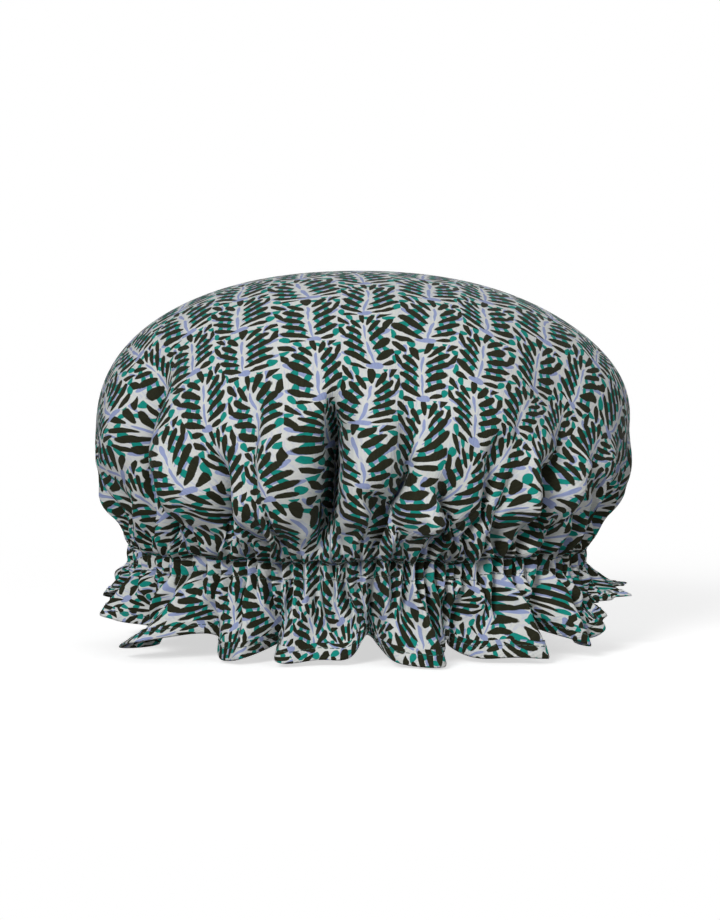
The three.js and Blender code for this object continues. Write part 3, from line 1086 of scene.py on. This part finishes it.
    def drape(self, start: np.ndarray) -> np.ndarray:
        """Lets the cloth settle with Blender's cloth solver, at ten times its size.

        The casing is held still and the hem lightly, air pressure fills the crown except in its valleys,
        and the cloth is free of strain in its rest shape, so what is too long for its place buckles.

        Args:
            start: Points in mm before settling.

        Returns:
            Points in mm after settling.
        """
        scene = bpy.context.scene
        mesh = bpy.data.meshes.new("settling_cloth")
        mesh.from_pydata((start * SOLVER_SCALE).tolist(), [], self.faces)
        cloth = bpy.data.objects.new("settling_cloth", mesh)
        scene.collection.objects.link(cloth)
        cloth.shape_key_add(name="start")
        rest = cloth.shape_key_add(name="rest")
        rest.data.foreach_set("co", (self.rest_shape() * SOLVER_SCALE).astype(np.float32).ravel())
        casing = (self.radius > self.crown_radius - 1e-3) & (self.radius < self.lower_radius + 1e-3)
        crown = self.radius < self.crown_radius - 1e-3
        height = self.profile(np.clip(self.radius / self.crown_radius, 0, 1))[2]
        push, _ = self.crown_folds(height)
        valley = crown & (push < -6)
        groups = (
            ("held", casing, 1.0),
            ("held", self.radius > self.hem_radius - 6, self.hem_hold),
            ("puffed", crown & ~valley, 1.0),
            ("puffed", crown & (height < 24), 0.3),
            ("puffed", valley, 0.1),
            ("stiff", self.radius > self.lower_radius, 1.0),
        )
        for name, chosen, weight in groups:
            group = cloth.vertex_groups.get(name) or cloth.vertex_groups.new(name=name)
            group.add(np.flatnonzero(chosen).tolist(), weight, "REPLACE")
        solver = cloth.modifiers.new("settling", "CLOTH")
        settings = solver.settings
        settings.quality = 5
        settings.mass = 0.15
        settings.tension_stiffness = 15
        settings.compression_stiffness = 15
        settings.shear_stiffness = 5
        settings.bending_stiffness = 0.25
        settings.bending_stiffness_max = 0.3
        settings.vertex_group_bending = "stiff"
        settings.tension_damping = 10
        settings.compression_damping = 10
        settings.shear_damping = 10
        settings.air_damping = 2
        settings.vertex_group_mass = "held"
        settings.rest_shape_key = rest
        settings.use_pressure = True
        settings.uniform_pressure_force = self.cloth_pressure
        settings.vertex_group_pressure = "puffed"
        settings.effector_weights.gravity = 0.0
        contact = solver.collision_settings
        contact.use_collision = False
        contact.use_self_collision = True
        contact.self_distance_min = 0.012
        contact.self_friction = 5
        solver.point_cache.frame_end = self.cloth_frames
        for step in range(1, self.cloth_frames + 1):
            scene.frame_set(step)
        settled = cloth.evaluated_get(bpy.context.evaluated_depsgraph_get()).to_mesh()
        points = np.empty(len(start) * 3, np.float32)
        settled.vertices.foreach_get("co", points)
        bpy.data.objects.remove(cloth)
        bpy.data.meshes.remove(mesh)
        scene.frame_set(1)
        log.info("cloth settled in %d steps", self.cloth_frames)
        return points.reshape(-1, 3).astype(float) / SOLVER_SCALE

    def bring_back(self, start: np.ndarray, settled: np.ndarray) -> np.ndarray:
        """Takes the settled cloth part of the way back to its start, which the solver smooths too much.

        The main valleys, the gathers, the sides and the ruffle go back by shares of their own, and the
        middle of the crown goes back wholly. Then the ruffle's corners are rounded and its pleats pressed.

        Args:
            start: Points in mm before settling.
            settled: The same points after settling.

        Returns:
            Points in mm.
        """
        crown = self.radius < self.crown_radius - 1e-3
        height = self.profile(np.clip(self.radius / self.crown_radius, 0, 1))[2]
        push, _ = self.crown_folds(height)
        side = np.sin(self.theta) ** 4
        firm = self.firm_front + (self.firm_side - self.firm_front) * side
        in_valley = self.valley_keep * ease(-push, 4, 24)
        in_gather = self.gather_keep * (1 - ease(height, 4, 20))
        kept = np.maximum(np.maximum(in_valley, in_gather), self.side_keep * side)
        kept = np.where(crown, kept, self.pleat_keep)
        loose = (1 - kept) * ease(self.radius, firm, firm + self.firm_fade)
        points = self.round_corners(start + (settled - start) * loose[:, None])
        pressed = np.where(self.radius > self.lower_radius, self.pleat_press * self.pleats(), 0)
        outward = unit(points * (1, 1, 0) + (0, 0, 1e-6))
        return points + outward * pressed[:, None]

    def round_corners(self, points: np.ndarray) -> np.ndarray:
        """Evens the ruffle along the hem, more so lower down, so that its lobes turn in soft bends."""
        low = self.lower_seam_start
        rim = points[low:].reshape(-1, self.columns, 3)
        reach = round(3 * self.corner_columns)
        steps = np.arange(-reach, reach + 1)
        shares = np.exp(-((steps / self.corner_columns) ** 2))
        evened = sum(share * np.roll(rim, step, axis=1) for share, step in zip(shares, steps))
        evened = evened / shares.sum()
        part = ease(np.linspace(0, 1, len(rim)), 0.1, 0.7)[:, None, None]
        return np.concatenate([points[:low], (rim + part * (evened - rim)).reshape(-1, 3)])

    def settle(self, points: np.ndarray) -> np.ndarray:
        """Draws up and evens the ruffle, and stretches crown and ruffle to their heights.

        Each line down the ruffle is shortened where it is drawn up. In front and behind, its fall goes
        part of the way to a common fall, so that the hem makes even scallops.

        Args:
            points: Points in mm.

        Returns:
            Points whose crown reaches top_height and whose lowest hem leaves room for the binding above 0.
        """
        low_seam = self.seam_height - self.casing_height
        hem_room = 1.0
        crown = self.radius < self.crown_radius
        ruffle = self.radius > self.lower_radius
        low = self.lower_seam_start
        rim = points[low:].reshape(-1, self.columns, 3)
        turn = self.theta[low : low + self.columns]
        left = 1 - self.drawn_up(turn)
        least_fall = 5.0
        fall = np.maximum(rim[0, :, 2] - rim[-1, :, 2], least_fall)
        even = self.scallop_even * (1 - np.sin(turn) ** 4)
        longer = 1 + even * (np.percentile(fall, 80) / fall - 1)
        same = np.ones_like(longer)
        stretch = left[:, None] * np.stack([same, same, longer], axis=1)
        points[low:] = (rim[0] + (rim - rim[0]) * stretch).reshape(-1, 3)
        x, y, z = points.T
        grow = (self.top_height - self.seam_height) / (z.max() - self.seam_height)
        hang = (low_seam - hem_room) / (low_seam - z.min())
        z = np.where(crown, self.seam_height + (z - self.seam_height) * grow, z)
        z = np.where(ruffle, low_seam + (z - low_seam) * hang, z)
        return np.stack([x, y, z], axis=1)

    def neck_line(self, theta: np.ndarray, outwards: np.ndarray, height: np.ndarray) -> np.ndarray:
        """Points on the neck's oval, moved outwards, at a height in mm."""
        x = self.neck_width / 2 * np.sin(theta)
        y = -self.neck_depth / 2 * np.cos(theta)
        moved = 1 + outwards / np.hypot(x, y)
        return np.stack(np.broadcast_arrays(x * moved, y * moved, height), axis=-1)

    @property
    def cut(self) -> np.ndarray:
        """Place of each point on the flat round in mm."""
        return np.stack([self.radius * np.sin(self.theta), -self.radius * np.cos(self.theta)], axis=1)

    def rim(self) -> tuple[np.ndarray, np.ndarray]:
        """Refined rows from the upper seam to the hem, as the subdivided cloth has them.

        Returns:
            Points and outward normals. Row 1 is the upper seam, and the last row is the hem.
        """
        first = int(np.searchsorted(self.rings, self.crown_radius - 1e-6)) - 1
        rows = len(self.rings) - first
        band = refine(self.points[self.starts[first] :].reshape(rows, self.columns, 3))
        return band, band_normals(band)

    def build(self, material: bpy.types.Material) -> bpy.types.Object:
        """Makes the cloth's mesh."""
        piece = put_mesh("cover_cloth", self.points, self.faces, material, self.cut)
        smooth_cloth(piece)
        return stand_for(piece, "outer_cover")


# The pieces sewn to the cloth

UPPER_SEAM_ROW = 1
LOWER_SEAM_ROW = 5
# The film's way round the elastic: share of the casing's height from the top, and share of the depth
CHANNEL_PROFILE = ((0.1, 0.6), (0.18, 1.0), (0.5, 1.0), (0.82, 1.0), (0.9, 0.6))


@dataclass
class HemBinding:
    """A strip of the same print, folded in half round the hem. Lengths are in mm."""

    cover: CoverCloth
    thickness: float = 0.45
    edge: float = 0.8
    rows: int = 4
    # The upper edge: how far it is tucked under, and the height and fullness of its roll
    tuck: float = 0.1
    roll: float = 0.4
    roll_puff: float = 1.5
    bias: float = 62.0

    def sections(self) -> tuple[np.ndarray, np.ndarray]:
        """Points of the strip, carried round the hem.

        The profile starts at the turned-under upper edge outside, follows the ruffle's rows down at the
        strip's thickness, goes round the hem, and comes up inside in the same way.

        Returns:
            Band of points, and how far each of its rows is across the flat strip.
        """
        rim, normal = self.cover.rim()
        rows = rim[-self.rows :]
        normals = normal[-self.rows :]
        onward = unit(rim[-1] - rim[-2])
        upward = unit(rim[-self.rows - 1] - rim[-self.rows])
        step = self.cover.row_step
        heights = step * np.arange(self.rows - 1, -1, -1)
        lines = []
        across = []
        for side in (1, -1):
            face = rows + side * self.thickness * normals
            tucked = rows[0] + side * self.tuck * normals[0] + self.tuck * upward
            raised = rows[0] + side * self.roll_puff * self.thickness * normals[0] + self.roll * upward
            shown = [tucked, raised, *face]
            rolled = [heights[0] + 2 * self.roll, heights[0] + self.roll]
            places = side * (self.edge + np.concatenate([rolled, heights]))
            lines += shown if side > 0 else shown[::-1]
            across += places.tolist() if side > 0 else places[::-1].tolist()
            if side > 0:
                lines.append(rim[-1] + self.edge * onward)
                across.append(0.0)
        return np.stack(lines), np.array(across)

    def build(self, material: bpy.types.Material) -> bpy.types.Object:
        """Makes the strip, with its print turned to the bias."""
        band, across = self.sections()
        columns = band.shape[1]
        middle = band[len(band) // 2]
        steps = np.linalg.norm(np.roll(middle, -1, axis=0) - middle, axis=1)
        along = running_sum(steps)
        closed = np.concatenate([band, band[:, :1]], axis=1)
        place = np.stack(np.broadcast_arrays(along[None, :], across[:, None]), axis=-1)
        bias = math.radians(self.bias)
        turn = np.array([[math.cos(bias), -math.sin(bias)], [math.sin(bias), math.cos(bias)]])
        cut = (place @ turn.T).reshape(-1, 2)
        faces = grid_quads(len(band), columns + 1, closed=False).tolist()
        piece = put_mesh("hem_strip", closed.reshape(-1, 3), faces, material, cut)
        return stand_for(piece, "hem_binding")


@dataclass
class Lining:
    """The inner round of film. It follows the cloth inside and goes behind the elastic, in mm."""

    cover: CoverCloth
    gap: float = 1.4
    seam_gap: float = 0.5
    channel: float = 6.9
    seam_reach: float = 12.0
    edge_gap: float = 0.9
    edge_drop: float = 1.6

    def seam_line(self, row: int, depth: float, drop: float = 0.0) -> np.ndarray:
        """The cover's own line at a refined row, at every second point, moved inwards and down."""
        rim, normal = self.cover.rim()
        line = (rim - depth * normal)[row, ::2]
        return line - np.array([0, 0, drop])

    def channel_line(self, share: float, depth: float) -> np.ndarray:
        """A smooth oval inside the casing at a share of its height, depth inside the neck's line."""
        theta = np.arange(self.cover.columns) * 2 * np.pi / self.cover.columns
        height = self.cover.seam_height - share * self.cover.casing_height
        return self.cover.neck_line(theta, -depth, height)

    def build(self, material: bpy.types.Material) -> bpy.types.Object:
        """Makes the film: the crown's points moved inwards, then the channel round the elastic."""
        cover = self.cover
        crown_rings = int(np.searchsorted(cover.rings, cover.crown_radius - 1e-6))
        count = int(cover.starts[crown_rings])
        trial = bpy.data.meshes.new("cover_normals")
        trial.from_pydata(cover.points.tolist(), [], cover.faces)
        normals = np.empty(len(cover.points) * 3, np.float32)
        trial.vertex_normals.foreach_get("vector", normals)
        bpy.data.meshes.remove(trial)
        normals = normals.reshape(-1, 3)[:count]
        to_seam = cover.crown_radius - cover.radius[:count]
        depth = self.seam_gap + (self.gap - self.seam_gap) * ease(to_seam, 0, self.seam_reach)
        crown = cover.points[:count] - depth[:, None] * normals
        lines = [
            self.seam_line(UPPER_SEAM_ROW, self.seam_gap),
            *[self.channel_line(down, self.channel * share) for down, share in CHANNEL_PROFILE],
            self.seam_line(LOWER_SEAM_ROW, self.seam_gap),
            self.seam_line(LOWER_SEAM_ROW, self.edge_gap, drop=self.edge_drop),
        ]
        first = int(cover.starts[crown_rings - 1])
        faces = [face for face in cover.faces if max(face) < count]
        faces += (grid_quads(len(lines) + 1, cover.columns) + first).tolist()
        points = np.concatenate([crown, *lines])
        piece = put_mesh("lining_film", points, faces, material)
        smooth_cloth(piece)
        return stand_for(piece, "waterproof_lining")


@dataclass
class ElasticBand:
    """The flat elastic strip in the casing, with its ends lapped at the back. Lengths are in mm."""

    cover: CoverCloth
    width: float = 5.0
    thickness: float = 1.0
    overlap: float = 24.0
    inset: float = 5.45
    lap_rise: float = 1.5
    stitch_count: int = 8
    # Share of the lap where the zigzag begins and ends
    stitched: tuple[float, float] = (0.12, 0.88)
    stitch_gap: float = 0.3
    stitch_radius: float = 0.25

    @property
    def lap_turn(self) -> float:
        """Angle that the lap takes at the back, in radians."""
        return self.overlap / (self.cover.neck_width / 2 - self.inset)

    def line(self, turned: np.ndarray, outwards: np.ndarray, rise: np.ndarray) -> np.ndarray:
        """Points on the strip.

        The middle line is the neck's oval, moved inwards. Over the lap it rises outwards by the
        strip's thickness and some room.

        Args:
            turned: Angle run along the strip from its start, in radians.
            outwards: Way out from the middle line in mm.
            rise: Way up from the middle line in mm.

        Returns:
            Points in mm.
        """
        theta = np.pi - self.lap_turn / 2 + turned
        lapped = ease(turned, 2 * np.pi - self.lap_turn, 2 * np.pi) * self.lap_rise
        middle = self.cover.seam_height - self.cover.casing_height / 2
        return self.cover.neck_line(theta, lapped + outwards - self.inset, middle + rise)

    def build_strip(self, material: bpy.types.Material) -> bpy.types.Object:
        """Makes the strip: a flat oval profile carried round the neck, closed at its two ends."""
        steps = 260
        turned = np.linspace(0, 2 * np.pi + self.lap_turn, steps)
        corner = np.linspace(0, 2 * np.pi, 16, endpoint=False)
        flatness = 0.35
        out = self.thickness / 2 * np.sign(np.cos(corner)) * np.abs(np.cos(corner)) ** flatness
        up = self.width / 2 * np.sign(np.sin(corner)) * np.abs(np.sin(corner)) ** flatness
        points = self.line(turned[:, None], out[None, :], up[None, :])
        along = turned * (self.cover.neck_width + self.cover.neck_depth) / 4
        cut = np.stack(np.broadcast_arrays(along[:, None], up[None, :]), axis=-1)
        faces = grid_quads(steps, len(corner)).tolist() + end_caps(steps, len(corner))
        piece = put_mesh("elastic_strip", points.reshape(-1, 3), faces, material, cut.reshape(-1, 2))
        return stand_for(piece, "elastic_band")

    def build_zigzag(self, material: bpy.types.Material) -> bpy.types.Object:
        """Makes the zigzag stitch over the lap."""
        corners = 2 * self.stitch_count + 1
        turned = 2 * np.pi + self.lap_turn * np.linspace(*self.stitched, corners)
        rise = (self.width / 2 - 1) * (-1.0) ** np.arange(corners)
        path = self.line(turned, np.full(corners, self.thickness / 2 + self.stitch_gap), rise)
        points, faces, cut = tube(path, self.stitch_radius)
        piece = put_mesh("elastic_zigzag", points, faces, material, cut)
        return stand_for(piece, "elastic_join_stitch")


# Threads


def tube(path: np.ndarray, radius: float, sides: int = 6) -> tuple[np.ndarray, list, np.ndarray]:
    """A round thread along an open line.

    Each section is a regular polygon across the line's direction, and the two ends are closed.

    Args:
        path: Points of the line in mm.
        radius: Half the thread's thickness in mm.
        sides: Number of sides of a section.

    Returns:
        Points, faces and the places of the points along and round the thread in mm.
    """
    heading = unit(np.gradient(path, axis=0))
    across = unit(np.cross(heading, np.array([0.31, 0.17, 0.93])))
    other = np.cross(heading, across)
    turn = np.arange(sides) * 2 * np.pi / sides
    ring = np.cos(turn)[:, None] * across[:, None, :] + np.sin(turn)[:, None] * other[:, None, :]
    points = path[:, None, :] + radius * ring
    steps = np.linalg.norm(np.diff(path, axis=0), axis=1)
    along = running_sum(steps)
    cut = np.stack(np.broadcast_arrays(along[:, None], (radius * turn)[None, :]), axis=-1)
    faces = grid_quads(len(path), sides).tolist() + end_caps(len(path), sides)
    return points.reshape(-1, 3), faces, cut.reshape(-1, 2)


@dataclass
class StitchRow:
    """One thread of a row of lockstitch: short dashes that dip into the cloth. Lengths are in mm."""

    name: str
    node: str
    line: np.ndarray
    normal: np.ndarray
    stitch: float = 2.4
    gap: float = 0.5
    thickness: float = 0.38
    tail: np.ndarray | None = None

    def dashes(self) -> tuple[np.ndarray, list, np.ndarray]:
        """Points, faces and map of all the dashes.

        The closed line's length is shared out evenly. A dash is a tube of six sides and five sections.
        Its middle stands half its thickness off the cloth, and its thin ends dip into it.

        Returns:
            Points, faces and places along and round the thread in mm.
        """
        closed = np.concatenate([self.line, self.line[:1]])
        facing = np.concatenate([self.normal, self.normal[:1]])
        run = running_sum(np.linalg.norm(np.diff(closed, axis=0), axis=1))
        count = round(run[-1] / (self.stitch + self.gap))
        begin = np.arange(count) * run[-1] / count
        sections, sides = 5, 6
        place = begin[:, None] + self.stitch * np.linspace(0, 1, sections)
        middle = np.stack([np.interp(place % run[-1], run, closed[:, k]) for k in range(3)], axis=-1)
        up = unit(np.stack([np.interp(place % run[-1], run, facing[:, k]) for k in range(3)], axis=-1))
        heading = unit(np.gradient(middle, axis=1))
        across = unit(np.cross(heading, up))
        radius = self.thickness / 2
        turn = np.arange(sides) * 2 * np.pi / sides
        size = radius * np.array([0.5, 1.0, 1.0, 1.0, 0.5])[:, None, None]
        lift = radius * np.array([-0.7, 0.5, 0.8, 0.5, -0.7])[:, None]
        ring = np.cos(turn)[:, None] * up[:, :, None, :] + np.sin(turn)[:, None] * across[:, :, None, :]
        points = (middle + lift * up)[:, :, None, :] + size * ring
        along, around = np.broadcast_arrays(place[:, :, None], radius * turn[None, None, :])
        one = grid_quads(sections, sides)
        first = sections * sides * np.arange(count)[:, None, None]
        faces = (one[None] + first).reshape(-1, 4).tolist()
        caps = np.array(end_caps(sections, sides))
        faces += (caps[None] + first).reshape(-1, sides).tolist()
        cut = np.stack([along, around], axis=-1)
        return points.reshape(-1, 3), faces, cut.reshape(-1, 2)

    def build(self, material: bpy.types.Material) -> bpy.types.Object:
        """Makes the row, with the loose end where the row has one."""
        points, faces, cut = self.dashes()
        if self.tail is not None:
            more, more_faces, more_cut = tube(self.tail, self.thickness / 2)
            faces += [[number + len(points) for number in face] for face in more_faces]
            points = np.concatenate([points, more])
            cut = np.concatenate([cut, more_cut])
        piece = put_mesh(self.name, points, faces, material, cut)
        return stand_for(piece, self.node)


@dataclass
class Sewing:
    """The three rows of lockstitch, each with a needle thread outside and a bobbin thread inside."""

    cover: CoverCloth
    binding: HemBinding
    hem_stitch_height: float = 5.3
    tail_turn: float = 72.0
    tail_length: float = 6.0
    tail_rise: float = 1.5
    tail_bow: float = 0.8
    needle_off: float = 0.1
    bobbin_off: float = 0.75

    def casing_rows(self) -> list[StitchRow]:
        """Rows on the two casing seams: the needle thread on the cloth, the bobbin thread on the film."""
        rim, normal = self.cover.rim()
        rows = []
        for seam, row in (("upper", UPPER_SEAM_ROW), ("lower", LOWER_SEAM_ROW)):
            for kind, face in (("needle", Face.OUTSIDE), ("bobbin", Face.INSIDE)):
                off = self.needle_off if face is Face.OUTSIDE else self.bobbin_off
                line = rim[row] + face.value * off * normal[row]
                node = f"{seam}_casing_{kind}_thread"
                rows.append(StitchRow(f"{seam}_seam_{kind}", node, line, face.value * normal[row]))
        return rows

    def hem_rows(self) -> list[StitchRow]:
        """Rows on the binding, with a loose end of the needle thread at the right."""
        rim, normal = self.cover.rim()
        step = self.cover.row_step
        lower = int(self.hem_stitch_height // step)
        share = self.hem_stitch_height / step - lower
        line = rim[-1 - lower] * (1 - share) + rim[-2 - lower] * share
        facing = unit(normal[-1 - lower] * (1 - share) + normal[-2 - lower] * share)
        off = self.binding.thickness
        rows = []
        for kind, face in (("needle", Face.OUTSIDE), ("bobbin", Face.INSIDE)):
            moved = line + face.value * off * facing
            tail = self.loose_end(rim, line) if face is Face.OUTSIDE else None
            row = StitchRow(f"hem_{kind}", f"hem_{kind}_thread", moved, face.value * facing, tail=tail)
            rows.append(row)
        return rows

    def loose_end(self, rim: np.ndarray, line: np.ndarray) -> np.ndarray:
        """A short thread end that runs down over the hem and stands out from it in a bow."""
        column = round(self.tail_turn / 360 * line.shape[0])
        begin = line[column] + np.array([0.3, -0.6, 0.2])
        edge = rim[-1][column]
        outwards = unit(edge - np.array([0, 0, edge[2]]))
        share = np.linspace(0, 1, 9)[:, None]
        bow = np.sin(np.pi * share) * np.array([0, 0, self.tail_bow])
        end = edge + outwards * self.tail_length + np.array([0, 0, self.tail_rise])
        return begin + (end - begin) * share + bow

    def build(self, material: bpy.types.Material) -> list[bpy.types.Object]:
        """Makes the six threads."""
        return [row.build(material) for row in self.casing_rows() + self.hem_rows()]


# Studio


@dataclass
class Studio:
    """Plain floor, soft lamps, white surroundings and the camera. Lengths are in metres."""

    elevation: float = 4.5
    distance: float = 2.2
    frame_width: float = 0.3456
    aim: tuple[float, float, float] = (0.001, 0.0, 0.0897)
    fill_strength: float = 0.12
    floor_glow: float = 0.62
    floor_fade: tuple[float, float] = (0.22, 0.6)

    def camera(self) -> None:
        """A long lens in front of the cap, a little above it."""
        lens = bpy.data.cameras.new("front_camera")
        lens.sensor_fit = "HORIZONTAL"
        lens.sensor_width = 36
        lens.lens = lens.sensor_width * self.distance / self.frame_width
        eye = bpy.data.objects.new("front_camera", lens)
        rise = math.radians(self.elevation)
        away = Vector((0, -math.cos(rise), math.sin(rise)))
        eye.location = Vector(self.aim) + self.distance * away
        eye.rotation_euler = away.to_track_quat("Z", "Y").to_euler()
        bpy.context.scene.collection.objects.link(eye)
        bpy.context.scene.camera = eye

    def lamp(self, name: str, place: tuple, size: float, power: float) -> None:
        """A square soft lamp that faces the cap."""
        light = bpy.data.lights.new(name, "AREA")
        light.size = size
        light.energy = power
        holder = bpy.data.objects.new(name, light)
        holder.location = place
        holder.rotation_euler = (Vector(place) - Vector(self.aim)).to_track_quat("Z", "Y").to_euler()
        bpy.context.scene.collection.objects.link(holder)

    def seen_rays(self, tree: bpy.types.NodeTree) -> bpy.types.NodeSocket:
        """1 for rays that show the surroundings: straight, in a gloss or through a clear thing."""
        path = add(tree, "LightPath")
        straight = add(
            tree,
            "Math",
            {0: path.outputs["Is Camera Ray"], 1: path.outputs["Is Glossy Ray"]},
            operation="MAXIMUM",
        )
        return add(
            tree, "Math", {0: straight, 1: path.outputs["Is Transmission Ray"]}, operation="MAXIMUM"
        ).outputs[0]

    def surroundings(self) -> None:
        """White where they are seen, and a soft fill light otherwise."""
        world = bpy.data.worlds.new("white_room")
        world.use_nodes = True
        tree = world.node_tree
        tree.nodes.clear()
        strength = add(
            tree, "MapRange", {"Value": self.seen_rays(tree), "To Min": self.fill_strength, "To Max": 1.0}
        )
        ground = add(tree, "Background", {"Color": linear("#ffffff"), "Strength": strength})
        add(tree, "OutputWorld", {"Surface": ground})
        bpy.context.scene.world = world

    def floor(self) -> None:
        """A wide sheet of white paper, with a glow that lifts it to white. The cap's shadow stays on it."""
        material, tree = new_tree("white_paper")
        seen = self.seen_rays(tree)
        tone = add(
            tree, "Mix", {"Factor": seen, "A": linear("#787878"), "B": linear("#e8e8e8")}, data_type="RGBA"
        )
        matt = add(tree, "BsdfDiffuse", {"Color": tone.outputs["Result"]})
        shown = add(tree, "Math", {0: seen, 1: self.floor_glow}, operation="MULTIPLY")
        glow = add(tree, "Emission", {"Color": linear("#ffffff"), "Strength": shown})
        near = add(tree, "AddShader", {0: matt, 1: glow})
        far = add(tree, "Emission", {"Color": linear("#ffffff"), "Strength": seen})
        place = add(tree, "TexCoord").outputs["Object"]
        away = add(tree, "VectorMath", {0: place}, operation="LENGTH")
        fade = add(
            tree,
            "MapRange",
            {"Value": away.outputs["Value"], "From Min": self.floor_fade[0], "From Max": self.floor_fade[1]},
            interpolation_type="SMOOTHSTEP",
        )
        both = add(tree, "MixShader", {"Fac": fade, 1: near, 2: far})
        add(tree, "OutputMaterial", {"Surface": both})
        half = 4000.0
        corners = np.array([[-half, -half, 0], [half, -half, 0], [half, half, 0], [-half, half, 0]])
        put_mesh("paper_floor", corners, [[0, 1, 2, 3]], material)

    def build(self) -> None:
        """Sets the camera, lamps, surroundings and floor."""
        self.camera()
        self.lamp("key_lamp", place=(-0.7, -1.8, 1.0), size=0.7, power=27)
        self.lamp("fill_lamp", place=(1.1, -1.6, 0.6), size=1.2, power=8)
        self.lamp("top_lamp", place=(0.1, 0.2, 1.9), size=1.0, power=3)
        self.lamp("back_lamp", place=(0.6, 1.9, 0.8), size=1.2, power=8)
        self.surroundings()
        self.floor()
        bpy.context.scene.view_settings.view_transform = "Standard"


def main() -> None:
    logging.basicConfig(level=logging.INFO, format="%(name)s: %(message)s")
    Studio().build()
    cotton = PrintedCotton("printed_cotton").material()
    green = SpunThread("green_thread", "#2c6152", "#17382f").material()
    white = SpunThread("white_thread", "#efeeea", "#c9c8c2").material()
    cover = CoverCloth()
    cloth = cover.build(cotton)
    binding = HemBinding(cover)
    strip = binding.build(cotton)
    threads = Sewing(cover, binding).build(green)
    film = Lining(cover).build(WaterproofFilm().material())
    elastic = ElasticBand(cover)
    elastic.build_strip(BraidedElastic().material())
    elastic.build_zigzag(white)


if __name__ == "__main__":
    main()
